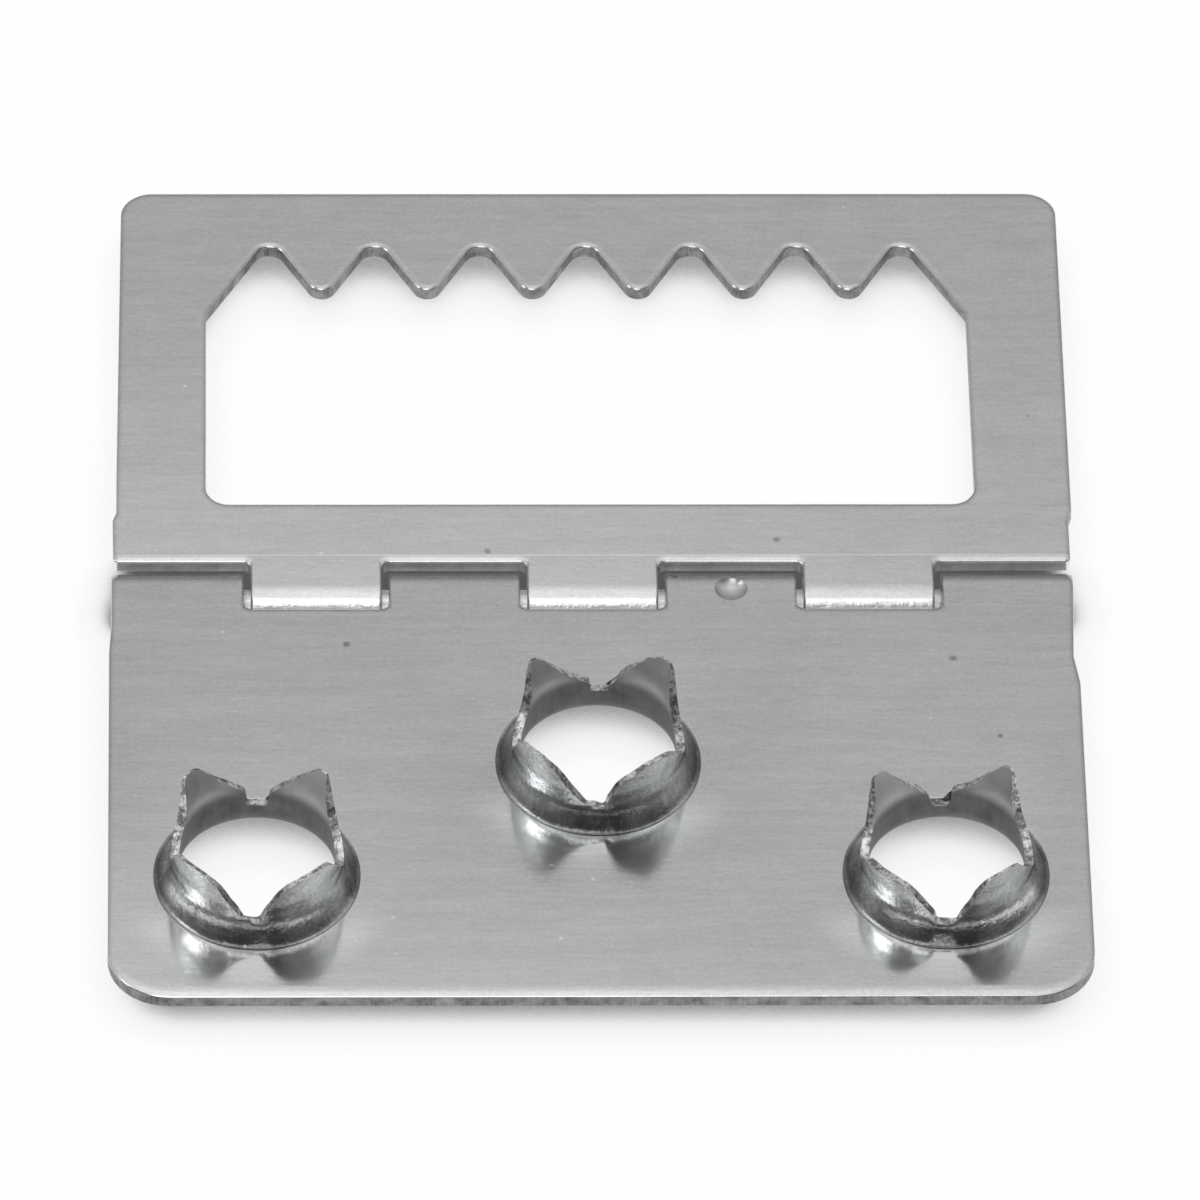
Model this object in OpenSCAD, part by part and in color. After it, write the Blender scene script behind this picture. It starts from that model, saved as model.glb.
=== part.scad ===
// Hinged picture hanger in plated sheet steel, lying open with its prongs up.
// A sawtooth leaf hangs on a nail or hook, and a fixing leaf is driven into the back of a
// picture through three pierced crowns of prongs. Each leaf has knuckles rolled from its own
// sheet, which share one pin. The faces on the prong side are flush across the hinge.
// X runs along the hinge, Y towards the sawtooth leaf and Z out of the face with the prongs.
// The origin lies under the pin's middle, level with the underside of the knuckles.

/* [Leaves] */
// Width of both leaves along the hinge
leaf_w = 45; // [40:0.5:60]
// Depth of each leaf, from the hinge axis to its outer edge
leaf_d = 26; // [25:0.5:40]
// Thickness of the sheet
sheet_t = 0.7; // [0.5:0.05:0.9]
// Radius of the sawtooth leaf's outer corners
sawtooth_corner_r = 1.5; // [0.5:0.1:3.5]
// Radius of the fixing leaf's outer corners
fixing_corner_r = 2.8; // [0.5:0.1:4]

/* [Hinge] */
// Diameter of the pin
pin_d = 1.4; // [1:0.05:1.8]
// Clearance all round the pin in its knuckles
pin_fit = 0.05; // [0.02:0.01:0.1]
// Recess of each end of the pin in the outer knuckle
pin_recess = 0.3; // [0.1:0.05:1]
// Bevel round each end of the pin
pin_bevel = 0.2; // [0.05:0.05:0.4]
// Number of knuckles in all, with the fixing leaf's at both ends
knuckle_count = 7; // [5:2:9]
// Gap between the ends of neighbouring knuckles
knuckle_gap = 0.35; // [0.2:0.05:0.6]
// Gap between a rolled knuckle and the other leaf's notch
notch_gap = 0.06; // [0.04:0.01:0.2]
// Radius in the corners of each notch
notch_corner_r = 0.4; // [0.1:0.05:0.6]
// Gap between the rolled end of the sheet and the leaf that it curls back to
roll_end_gap = 0.1; // [0.05:0.05:0.3]
// Step in the sides of each leaf, where the hinge end is trimmed narrower
hinge_inset = 0.15; // [0.05:0.05:0.5]
// Distance from the hinge axis to that step
inset_reach = 4.2; // [3:0.1:5]
// Length of the slope that eases the step
inset_slope = 0.9; // [0.3:0.1:1.5]

/* [Pin stake] */
// Width of the punched dimple that locks the pin to the fixing leaf
stake_w = 1.55; // [1:0.05:1.8]
// Distance from the hinge axis to the dimple, on the fixing leaf's side
stake_y = 0.3; // [0:0.05:0.4]
// Depth of the dimple in the knuckle's face
stake_depth = 0.32; // [0.15:0.01:0.4]
// Width of the metal that the punch pushes into the pin
stake_boss_w = 0.8; // [0.5:0.05:0.9]
// Depth of the dent that it makes in the pin
stake_bite = 0.12; // [0.05:0.01:0.2]
// Clearance round the pushed metal in the dent
stake_fit = 0.06; // [0.02:0.01:0.1]

/* [Sawtooth window] */
// Width of the rim at each side of the window
window_rim = 4.5; // [3:0.1:6]
// Distance from the hinge axis to the window's lower edge
window_low = 5.3; // [4.5:0.1:8]
// Radius of the window's lower corners
window_corner_r = 1.1; // [0.3:0.1:2]
// Width of the rim above the valleys between the teeth
rack_rim = 3.66; // [2.5:0.02:6]
// Distance from tooth to tooth
tooth_pitch = 5; // [4.4:0.1:5]
// Angle of the tooth flanks to the edge of the leaf
flank_angle = 60; // [50:1:62]
// Radius of the valleys, where a nail sits
valley_r = 0.76; // [0.4:0.02:0.9]
// Radius of the tooth tips
tooth_tip_r = 0.68; // [0.3:0.02:0.8]

/* [Crowns] */
// Outer diameter of each crown's drawn wall, under its prongs
crown_d = 7.95; // [7:0.05:8.5]
// Thickness of the drawn wall, which is thinner than the sheet
crown_wall = 0.4; // [0.3:0.05:0.6]
// Height of the prong tips above the face
crown_h = 3.85; // [3.6:0.05:4.5]
// Fillet where the wall rises from the face
crown_fillet = 0.68; // [0.4:0.02:0.8]
// Height of the floor of each notch above the face
notch_floor = 1; // [0.8:0.05:1.2]
// Height at which the hollow edges of the prongs start
shoulder_h = 1.4; // [1.3:0.05:2]
// Radius of those hollow edges
prong_edge_r = 5.3; // [4:0.1:8]
// Width of each notch at its floor
notch_floor_w = 1; // [0.6:0.05:1.2]
// Width of each notch where the prong edges start
shoulder_w = 1.2; // [1.2:0.05:1.6]
// Width of each blunt prong tip
prong_tip_w = 0.4; // [0.2:0.05:0.8]
// Thickness of each prong at its tip
prong_tip_t = 0.1; // [0.05:0.01:0.2]
// Height above the face at which the prongs start to thin from inside
thinning_h = 2.2; // [1.8:0.1:2.8]
// Height above the face at which the prongs start to lean outwards
lean_start_h = 1.9; // [1.5:0.1:2.5]
// Lean of the tips outwards from the wall
prong_lean = 0.25; // [0.1:0.05:0.4]
// Distance from the hinge axis to the middle crown
crown_mid_y = 11.35; // [9:0.05:13]
// Distance from the fixing leaf's outer edge to the side crowns
crown_edge_in = 7.55; // [6.5:0.05:9]
// Distance from each side of the fixing leaf to the side crown there
crown_side_in = 6.75; // [6.5:0.05:9]

/* [Hidden] */
$fn = 96;

// Overrun of every cut past the face that it opens
cut = 0.3;

// Hinge, seen along the pin: the bore, the barrel round it and the level of each face
bore_r = pin_d / 2 + pin_fit;
barrel_r = bore_r + sheet_t;
axis_z = barrel_r;
face_z = axis_z + barrel_r;
back_z = face_z - sheet_t;
notch_edge = barrel_r + notch_gap;
roll_turn = 270 + asin((bore_r - roll_end_gap) / barrel_r);

// Knuckles along the pin
hinge_w = leaf_w - 2 * hinge_inset;
knuckle_w = (hinge_w - (knuckle_count - 1) * knuckle_gap) / knuckle_count;
knuckle_step = knuckle_w + knuckle_gap;
sawtooth_knuckles = [1 : 2 : knuckle_count - 2];
fixing_knuckles = [0 : 2 : knuckle_count - 1];
stake_x = knuckle_x((knuckle_count + 1) / 2);
pin_len = hinge_w - 2 * pin_recess;

// Sphere that leaves the dimple
stake_r = (pow(stake_w / 2, 2) + pow(stake_depth, 2)) / (2 * stake_depth);

// Teeth: as many as fit with a chamfer at each end, with flanks that run as tangents from
// each valley's arc to each tip's arc
window_w = leaf_w - 2 * window_rim;
least_chamfer = valley_r;
tooth_count = floor((window_w - 2 * (least_chamfer + valley_r * sin(flank_angle))) / tooth_pitch);
valley_y = leaf_d - rack_rim;
valley_centre_y = valley_y - valley_r;
flank_run = tooth_pitch / 2 - (valley_r + tooth_tip_r) * sin(flank_angle);
flank_rise = flank_run * tan(flank_angle);
flank_top_y = valley_centre_y + valley_r * cos(flank_angle);
flank_low_y = flank_top_y - flank_rise;
tip_centre_y = flank_low_y + tooth_tip_r * cos(flank_angle);
first_valley_x = -tooth_count * tooth_pitch / 2;
arc_steps = 6;
chamfer_x = first_valley_x - valley_r * sin(flank_angle);
chamfer_low_y = flank_top_y - (window_w / 2 + chamfer_x) * tan(flank_angle);

// Crowns: the ring of sheet round each, and the levels measured from the leaf's back
crown_r = crown_d / 2;
crown_bore_r = crown_r - crown_wall;
crown_top = sheet_t + crown_h;
tip_bore_r = crown_r + prong_lean - prong_tip_t;
thinning_slope = (tip_bore_r - crown_bore_r) / (crown_h - thinning_h);
flare_r = crown_fillet + crown_wall;
ring_r = crown_r + flare_r;
ring_lap = crown_wall / 3;
notch_places = [0 : 90 : 270];
half_notch = 45;
cutter_turn = half_notch / 2;
mid_wall_r = crown_r - crown_wall / 2;

function knuckle_x(i) = (i - (knuckle_count - 1) / 2) * knuckle_step;

// Turns a shape drawn round Z so that it lies round X, starting above the axis and
// turning away from its leaf
module along_hinge() {
    translate([0, 0, axis_z]) rotate([180, -90, 0]) children();
}

// What is cut from a square corner at the origin to leave it with radius r
module corner_cut(r) {
    difference() {
        translate([-cut, -cut]) square(r + cut);
        translate([r, r]) circle(r = r);
    }
}

// The same for the corners at both upper ends of an edge from x0 to x1 at height y
module upper_corner_cuts(x0, x1, y, r) {
    translate([x0, y]) mirror([0, 1]) corner_cut(r);
    translate([x1, y]) rotate(180) corner_cut(r);
}

// Notch for one knuckle of the other leaf, open past the leaf's side at either end knuckle
module knuckle_notch(i) {
    reach = knuckle_w / 2 + knuckle_gap;
    x0 = i == 0 ? -leaf_w : knuckle_x(i) - reach;
    x1 = i == knuckle_count - 1 ? leaf_w : knuckle_x(i) + reach;
    difference() {
        translate([x0, -cut]) square([x1 - x0, notch_edge + cut]);
        upper_corner_cuts(x0, x1, notch_edge, notch_corner_r);
    }
}

// Flat outline of a leaf from the hinge axis outwards, with its outer corners rounded and
// its sides stepped in at the hinge
module leaf_outline(corner_r) {
    half = leaf_w / 2;
    neck = half - hinge_inset;
    difference() {
        polygon([
            [-neck, 0], [neck, 0], [neck, inset_reach], [half, inset_reach + inset_slope],
            [half, leaf_d], [-half, leaf_d], [-half, inset_reach + inset_slope], [-neck, inset_reach]
        ]);
        upper_corner_cuts(-half, half, leaf_d, corner_r);
    }
}

// Leaf blank with a notch for each of the other leaf's knuckles, in sheet
module leaf_sheet(corner_r, other_knuckles) {
    translate([0, 0, back_z])
    linear_extrude(sheet_t)
    difference() {
        leaf_outline(corner_r);
        for (i = other_knuckles) knuckle_notch(i);
    }
}

// Knuckles rolled down from the leaf's edge round the pin
module knuckles(own_knuckles) {
    for (i = own_knuckles) {
        along_hinge()
        translate([0, 0, knuckle_x(i) - knuckle_w / 2])
        rotate_extrude(angle = roll_turn)
        translate([bore_r, 0])
        square([sheet_t, knuckle_w]);
    }
}

// Points of an arc round (x, y), swept through the same angle to each side of its middle
function arc(x, y, r, middle, half_turn) = [
    for (i = [-arc_steps : arc_steps])
    let (turn = middle + half_turn * i / arc_steps)
    [x + r * cos(turn), y + r * sin(turn)]
];

// Window with a chamfer at each upper corner and a row of rounded valleys between teeth
module sawtooth_window() {
    half = window_w / 2;
    rack = [
        for (i = [0 : 2 * tooth_count])
        let (x = first_valley_x + i * tooth_pitch / 2)
        each (i % 2 == 0)
            ? arc(x, valley_centre_y, valley_r, 90, -flank_angle)
            : arc(x, tip_centre_y, tooth_tip_r, 270, flank_angle)
    ];
    difference() {
        polygon(concat(
            [[half, chamfer_low_y], [half, window_low], [-half, window_low], [-half, chamfer_low_y]],
            rack
        ));
        translate([-half, window_low]) corner_cut(window_corner_r);
        translate([half, window_low]) mirror([1, 0]) corner_cut(window_corner_r);
    }
}

// Section of a crown's wall: sheet flat, flared up through a bend, drawn straight and then
// leaning outwards, with the bore widened until only the tip's thickness is left
module crown_section() {
    difference() {
        union() {
            square([ring_r, sheet_t]);
            square([crown_r + crown_fillet, sheet_t + crown_fillet]);
            polygon([
                [0, 0], [crown_r, 0], [crown_r, sheet_t + lean_start_h],
                [crown_r + prong_lean, crown_top], [0, crown_top]
            ]);
        }
        translate([crown_r + crown_fillet, sheet_t + crown_fillet]) circle(r = crown_fillet);
        polygon([
            [-cut, -cut], [crown_bore_r, -cut], [crown_bore_r, sheet_t + thinning_h],
            [tip_bore_r + thinning_slope * cut, crown_top + cut], [-cut, crown_top + cut]
        ]);
        difference() {
            translate([crown_bore_r - cut, -cut]) square([flare_r + cut, flare_r + cut]);
            translate([crown_bore_r + flare_r, flare_r]) circle(r = flare_r);
        }
    }
}

// Slot between two prongs, down to the notch's floor
module notch_slot() {
    top = crown_top + cut;
    shoulder = sheet_t + shoulder_h;
    rotate([90, 0, 90])
    linear_extrude(crown_r + prong_lean + cut)
    polygon([
        [-notch_floor_w / 2, sheet_t + notch_floor], [notch_floor_w / 2, sheet_t + notch_floor],
        [shoulder_w / 2, shoulder], [shoulder_w / 2, top], [-shoulder_w / 2, top], [-shoulder_w / 2, shoulder]
    ]);
}

// Hollow edge of one prong, on an arc from its shoulder to the tip halfway to the next
// notch. The cut runs square to the wall at the middle of that edge.
module prong_edge() {
    shoulder = sheet_t + shoulder_h;
    shoulder_turn = asin(shoulder_w / 2 / mid_wall_r);
    tip_turn = half_notch - asin(prong_tip_w / 2 / mid_wall_r);
    start = mid_wall_r * sin(shoulder_turn - cutter_turn);
    run = mid_wall_r * sin(tip_turn - cutter_turn) - start;
    rise = crown_top - shoulder;
    chord = norm([run, rise]);
    reach = sqrt(pow(prong_edge_r, 2) - pow(chord / 2, 2)) / chord;
    side = -crown_r * sin(cutter_turn);
    rotate(cutter_turn)
    rotate([90, 0, 90])
    linear_extrude(crown_r + prong_lean + cut)
    intersection() {
        translate([start + run / 2 - rise * reach, shoulder + rise / 2 + run * reach]) circle(r = prong_edge_r);
        translate([side, shoulder]) square([run + start - side + cut, rise + cut]);
    }
}

// One pierced crown of four prongs, standing on a ring of the leaf's own sheet
module crown() {
    difference() {
        rotate_extrude() crown_section();
        for (turn = notch_places) {
            rotate(turn) {
                notch_slot();
                prong_edge();
                mirror([0, 1, 0]) prong_edge();
            }
        }
    }
}

// Places of the three crowns, as seen from the hinge outwards
module at_crowns() {
    side_x = leaf_w / 2 - crown_side_in;
    side_y = leaf_d - crown_edge_in;
    for (p = [[0, crown_mid_y], [-side_x, side_y], [side_x, side_y]]) {
        translate([p[0], p[1], back_z]) children();
    }
}

module sawtooth_leaf() {
    color([0.72, 0.73, 0.73])
    difference() {
        union() {
            leaf_sheet(sawtooth_corner_r, fixing_knuckles);
            knuckles(sawtooth_knuckles);
        }
        translate([0, 0, back_z - cut]) linear_extrude(sheet_t + 2 * cut) sawtooth_window();
    }
}

module fixing_leaf() {
    color([0.68, 0.69, 0.7])
    mirror([0, 1, 0])
    difference() {
        union() {
            difference() {
                leaf_sheet(fixing_corner_r, sawtooth_knuckles);
                at_crowns() translate([0, 0, -cut]) cylinder(r = ring_r - ring_lap, h = sheet_t + 2 * cut);
            }
            knuckles(fixing_knuckles);
            at_crowns() crown();
            translate([stake_x, stake_y, axis_z + pin_d / 2 - stake_bite])
            cylinder(d = stake_boss_w, h = stake_bite + pin_fit + (sheet_t - stake_depth) / 2);
        }
        translate([stake_x, stake_y, face_z - stake_depth + stake_r]) sphere(r = stake_r);
    }
}

module hinge_pin() {
    color([0.6, 0.61, 0.62])
    difference() {
        along_hinge()
        translate([0, 0, -pin_len / 2])
        rotate_extrude()
        polygon([
            [0, 0], [pin_d / 2 - pin_bevel, 0], [pin_d / 2, pin_bevel], [pin_d / 2, pin_len - pin_bevel],
            [pin_d / 2 - pin_bevel, pin_len], [0, pin_len]
        ]);
        translate([stake_x, -stake_y, axis_z + pin_d / 2 - stake_bite])
        cylinder(d = stake_boss_w + 2 * stake_fit, h = stake_bite + cut);
    }
}

sawtooth_leaf();
fixing_leaf();
hinge_pin();
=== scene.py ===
"""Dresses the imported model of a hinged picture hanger: two stamped zinc-plated leaves on a wire pin.

Run as a script. Each operator models one piece in metres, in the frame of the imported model.
"""
import math

import bpy
from mathutils import Matrix, Vector, noise


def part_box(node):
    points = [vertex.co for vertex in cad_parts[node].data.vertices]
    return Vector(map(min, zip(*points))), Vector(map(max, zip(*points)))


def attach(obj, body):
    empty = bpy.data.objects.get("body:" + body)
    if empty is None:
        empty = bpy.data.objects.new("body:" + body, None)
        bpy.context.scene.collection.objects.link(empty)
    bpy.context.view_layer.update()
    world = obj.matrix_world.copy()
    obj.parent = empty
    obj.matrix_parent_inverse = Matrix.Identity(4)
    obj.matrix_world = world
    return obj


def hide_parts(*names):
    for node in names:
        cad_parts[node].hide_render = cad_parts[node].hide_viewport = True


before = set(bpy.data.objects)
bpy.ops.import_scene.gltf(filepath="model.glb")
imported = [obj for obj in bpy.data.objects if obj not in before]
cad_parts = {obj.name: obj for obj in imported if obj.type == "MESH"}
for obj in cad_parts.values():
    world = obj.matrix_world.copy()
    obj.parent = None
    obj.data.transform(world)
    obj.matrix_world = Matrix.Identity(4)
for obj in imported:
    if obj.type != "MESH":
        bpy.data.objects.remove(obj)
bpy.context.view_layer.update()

bl_info = {
    "name": "Hinged picture hanger",
    "version": (1, 0, 0),
    "blender": (4, 5, 0),
    "location": "View3D > Sidebar > Hanger",
    "description": "Models and finishes a hinged picture hanger with a sawtooth leaf and pierced crowns",
    "category": "Add Mesh",
}

# Lengths below are in mm unless a name says otherwise
MM = 0.001
KNUCKLES = 7
KNUCKLE_GAP = 0.35
KNUCKLE_PITCH = (44.7 + KNUCKLE_GAP) / KNUCKLES
KNUCKLE_TURN = 296.6  # degrees that a tab is rolled through
NOTCH_Y = 1.51
NOTCH_CORNER = 0.4
SHEARED_EDGE = 0.014  # roughness of the sheared band, in mm
ROLL_DEPTH = 0.12  # how far the stamped edges roll over, with the share of flat sheet next to them
FLAT_SHARE = 1.15
TOOTH_PITCH = 5
VALLEY = (21.58, 0.76)  # middle in Y, and radius
TOOTH_TIP = (20.13, 0.68)
CROWN_RING = 4.8  # radius where the flat sheet ends
CROWN_OUTER = 3.975
CROWN_TOP = 3.848
STAKE_RADIUS = 1.098
STAKE_DEPTH = 0.32

# Middles of the pits that stand out in the plating
PIT_PLACES = ((-11.49, -3.88), (-4.87, 2.13), (3.84, 0.6), (8.64, 2.87), (16.63, -4.82))

# Middle of each crown, and the sheared edge of its prongs as (degrees, height above the face),
# turning from the right by way of the hinge side. The edges were traced in the photograph, and
# come to degrees and heights through the camera set below
CROWN_PLACES = ((0.05, -11.35), (-15.68, -18.45), (15.86, -18.45))
CROWN_EDGES = (
    ((0, 1.0), (6, 1.02), (12, 1.2), (18, 1.65), (24.5, 2.2), (30, 2.95), (33, 3.55), (36.5, 3.84),
     (46, 3.84), (51.3, 3.53), (57, 3.27), (63.5, 2.78), (67, 2.58), (71, 2.3), (73.7, 2.08),
     (75.5, 1.77), (78, 1.53), (81, 1.3), (81.3, 1.03), (83.5, 0.94), (90, 0.93), (95.5, 0.95),
     (96, 1.05), (94.7, 1.22), (96, 1.43), (99.5, 1.57), (104, 1.74), (110.5, 2.06), (114.2, 2.28),
     (117.5, 2.5), (121, 2.79), (125.5, 3.12), (129, 3.45), (131.5, 3.6), (136, 3.8), (139, 3.83),
     (140.4, 3.67), (142.9, 3.35), (144.5, 3.0), (146.8, 2.5), (150.3, 2.08), (155, 1.5), (162, 1.3),
     (168, 1.15), (174, 1.0), (180, 0.98), (185, 1.1), (190, 1.6), (197, 2.3), (204, 2.95),
     (209.5, 3.35), (214.3, 3.57), (220.1, 3.68), (225.4, 3.73), (229.1, 3.68), (232, 3.42),
     (235.1, 3.26), (238.3, 3.09), (241.1, 2.81), (244, 2.52), (246.8, 2.17), (250, 1.9), (253.5, 1.64),
     (257, 1.36), (259.1, 1.17), (260.4, 1.07), (264.5, 1.15), (266.9, 1.12), (269, 1.03), (272.3, 0.94),
     (273.9, 1.08), (274.6, 1.3), (275.8, 1.55), (277.4, 1.76), (280, 2.21), (281.7, 2.44),
     (283.9, 2.61), (286.8, 2.8), (290.6, 2.94), (294.3, 3.11), (298, 3.3), (300.9, 3.46), (305.3, 3.47),
     (310.1, 3.43), (315.8, 3.3), (323.7, 2.96), (331.8, 2.47), (340, 1.95), (347, 1.5), (353, 1.1)),
    ((0, 0.98), (6, 1.1), (11.9, 1.32), (18.8, 1.72), (25.8, 2.19), (29.1, 2.48), (32.1, 2.78),
     (34.3, 3.13), (36.6, 3.41), (38, 3.68), (39.5, 3.84), (44.2, 3.84), (46.9, 3.79), (51.8, 3.45),
     (56.6, 3.1), (62, 2.81), (64.7, 2.66), (66.5, 2.48), (70.9, 2.2), (75.4, 1.93), (77.2, 1.79),
     (79.1, 1.65), (80.6, 1.48), (81.7, 1.37), (81.7, 1.21), (81.2, 0.99), (82.5, 0.8), (90, 0.78),
     (97, 0.8), (98.1, 0.9), (97.7, 1.06), (97.4, 1.46), (98.1, 1.59), (99.1, 1.7), (102.7, 1.89),
     (106.8, 2.08), (112.4, 2.41), (117.7, 2.68), (120.3, 2.89), (125.4, 3.3), (129.8, 3.63),
     (131.8, 3.75), (136.3, 3.84), (142, 3.84), (144.3, 3.7), (147.2, 3.3), (149.1, 2.9), (150.9, 2.6),
     (153.3, 2.2), (157, 1.8), (162, 1.5), (168, 1.25), (174, 1.05), (180, 1.0), (185, 1.15),
     (190, 1.65), (197, 2.4), (204, 3.05), (211, 3.45), (219.2, 3.59), (224.9, 3.67), (229.6, 3.65),
     (233.8, 3.54), (239.9, 3.23), (242.8, 3.03), (245.5, 2.73), (248.1, 2.36), (250.9, 1.99),
     (253.9, 1.75), (256, 1.56), (257.6, 1.33), (258.5, 1.08), (261, 1.0), (265, 0.99), (269.9, 0.95),
     (271.5, 1.01), (272.3, 1.11), (273.9, 1.37), (277.6, 1.83), (279.6, 2.04), (281.4, 2.33),
     (283.1, 2.57), (285.2, 2.78), (288.1, 3.02), (290.8, 3.24), (294.6, 3.34), (298.5, 3.42),
     (302.4, 3.52), (306.6, 3.58), (315.3, 3.54), (319.8, 3.45), (326, 3.1), (332, 2.6), (340, 2.0),
     (347, 1.5), (353, 1.1)),
    ((0, 0.98), (6, 1.0), (12, 1.15), (18.1, 1.34), (22.2, 1.5), (25.9, 1.77), (29.3, 1.99),
     (32.2, 2.23), (34.4, 2.52), (36.5, 2.81), (38.5, 3.12), (40.4, 3.42), (42, 3.68), (43.9, 3.82),
     (49, 3.84), (51.3, 3.7), (56.9, 3.27), (62.7, 2.81), (67.6, 2.39), (69.8, 2.3), (72.2, 2.09),
     (74.8, 2.0), (77.3, 1.88), (81.7, 1.73), (83.5, 1.65), (84.9, 1.5), (85.1, 1.12), (84.7, 0.83),
     (86.5, 0.7), (92, 0.68), (98.5, 0.72), (100, 0.88), (100.3, 1.1), (101.5, 1.27), (105.5, 1.63),
     (109.9, 1.98), (111.8, 2.11), (117, 2.32), (119.8, 2.51), (125.2, 2.89), (127.7, 3.13),
     (130.3, 3.36), (133, 3.57), (135.8, 3.78), (139.2, 3.84), (144, 3.84), (145.2, 3.75), (147.7, 3.4),
     (150.5, 2.9), (152.9, 2.45), (156, 2.0), (160, 1.65), (166, 1.3), (173, 1.05), (180, 0.98),
     (185, 1.1), (190, 1.55), (196, 2.1), (202, 2.42), (208.5, 2.6), (212.9, 2.65), (218, 2.74),
     (223.5, 2.83), (228.8, 2.88), (233.5, 2.86), (237.8, 2.8), (241.9, 2.64), (245.7, 2.39),
     (249.6, 2.06), (253, 1.78), (256.5, 1.51), (259.1, 1.32), (260.5, 1.04), (260.8, 0.86),
     (266.7, 0.86), (274, 0.84), (275.9, 0.87), (276.4, 1.03), (277.5, 1.24), (279, 1.41), (282.1, 1.78),
     (284.1, 1.97), (285.6, 2.3), (287, 2.64), (288.8, 2.9), (290.7, 3.15), (293.2, 3.42), (295.9, 3.61),
     (302.6, 3.75), (306.3, 3.81), (311.1, 3.78), (315.7, 3.6), (321, 3.3), (327, 2.8), (333, 2.3),
     (340, 1.8), (347, 1.4), (353, 1.1)),
)


class HangerSizes(bpy.types.PropertyGroup):
    """Sizes that a maker would change."""
    leaf_width: bpy.props.FloatProperty(
        name="Leaf width", description="Width of each leaf along the hinge",
        default=45 * MM, min=0, unit="LENGTH", subtype="DISTANCE")
    leaf_depth: bpy.props.FloatProperty(
        name="Leaf depth", description="From the hinge axis to the outer edge of each leaf",
        default=26 * MM, min=0, unit="LENGTH", subtype="DISTANCE")
    sheet: bpy.props.FloatProperty(
        name="Sheet", description="Thickness of the sheet steel",
        default=0.7 * MM, min=0, unit="LENGTH", subtype="DISTANCE")
    pin_diameter: bpy.props.FloatProperty(
        name="Pin diameter", description="Diameter of the wire that the hinge pin is cut from",
        default=1.4 * MM, min=0, unit="LENGTH", subtype="DISTANCE")
    pin_clearance: bpy.props.FloatProperty(
        name="Pin clearance", description="Gap between the pin and its knuckles, all round",
        default=0.05 * MM, min=0, unit="LENGTH", subtype="DISTANCE")
    crown_wall: bpy.props.FloatProperty(
        name="Crown wall", description="Thickness of the drawn wall of each crown",
        default=0.4 * MM, min=0, unit="LENGTH", subtype="DISTANCE")


class HangerFinish(bpy.types.PropertyGroup):
    """Colours that a maker would change."""
    zinc: bpy.props.FloatVectorProperty(
        name="Zinc plate", description="Colour of the zinc plating",
        default=(0.66, 0.67, 0.675), size=3, min=0, max=1, subtype="COLOR")
    steel: bpy.props.FloatVectorProperty(
        name="Sheared steel", description="Colour of the thinly plated sheared edges",
        default=(0.3, 0.3, 0.295), size=3, min=0, max=1, subtype="COLOR")
    bore: bpy.props.FloatVectorProperty(
        name="Dull bore", description="Colour of the unplated inside of the crowns",
        default=(0.27, 0.27, 0.265), size=3, min=0, max=1, subtype="COLOR")
    backdrop: bpy.props.FloatVectorProperty(
        name="Backdrop", description="Colour of the sheet that the hanger lies on",
        default=(0.9, 0.9, 0.9), size=3, min=0, max=1, subtype="COLOR")


def rounded(corners, steps=10):
    """Points of a closed outline from corners (x, y, radius), each corner turned into an arc."""
    out = []
    n = len(corners)
    for i, (x, y, r) in enumerate(corners):
        here = Vector((x, y))
        if r == 0:
            out.append(here)
            continue
        back = (Vector(corners[i - 1][:2]) - here).normalized()
        on = (Vector(corners[(i + 1) % n][:2]) - here).normalized()
        half = math.acos(max(-1, min(1, back.dot(on)))) / 2
        if math.degrees(half) > 89.5:
            out.append(here)
            continue
        run = r / math.tan(half)
        middle = here + (back + on).normalized() * (r / math.sin(half))
        a = here + back * run - middle
        b = here + on * run - middle
        turn = math.atan2(a.x * b.y - a.y * b.x, a.dot(b))
        for k in range(steps + 1):
            t = turn * k / steps
            out.append(middle + Vector((
                a.x * math.cos(t) - a.y * math.sin(t), a.x * math.sin(t) + a.y * math.cos(t))))
    return out


def arc(x, y, r, first, last, steps):
    """Points of an arc, from one angle to another in degrees."""
    turns = [math.radians(first + (last - first) * k / steps) for k in range(steps + 1)]
    return [Vector((x + r * math.cos(t), y + r * math.sin(t))) for t in turns]


def area(points):
    """Signed area of a closed outline."""
    return sum(a.x * b.y - b.x * a.y for a, b in zip(points, points[1:] + points[:1])) / 2


def wound(points, left_turning):
    """The outline, turned to run to the left round its middle, or to the right."""
    return points if (area(points) > 0) == left_turning else points[::-1]


def inset(points, widths):
    """The outline moved to its left by a width at each point, its corners kept."""
    out = []
    n = len(points)
    for i, p in enumerate(points):
        a = (p - points[i - 1]).normalized()
        b = (points[(i + 1) % n] - p).normalized()
        na, nb = Vector((-a.y, a.x)), Vector((-b.y, b.x))
        wa, wb = widths[i]
        cross = na.x * nb.y - na.y * nb.x
        if abs(cross) < 0.02:
            out.append(p + (na + nb).normalized() * (wa + wb) / 2)
        else:
            out.append(p + Vector(((wa * nb.y - wb * na.y) / cross, (wb * na.x - wa * nb.x) / cross)))
    for _ in range(300):
        crossed = False
        for i in range(n):
            j = (i + 1) % n
            along = (points[j] - points[i]).normalized()
            if (out[j] - out[i]).dot(along) < 0.0004:
                middle = (out[i] + out[j]) / 2
                out[i], out[j] = middle - along * 0.0003, middle + along * 0.0003
                crossed = True
        if not crossed:
            break
    return out


def knuckle_x(i):
    """Middle of a knuckle along the hinge, in mm."""
    return (i - 3) * KNUCKLE_PITCH


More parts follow.
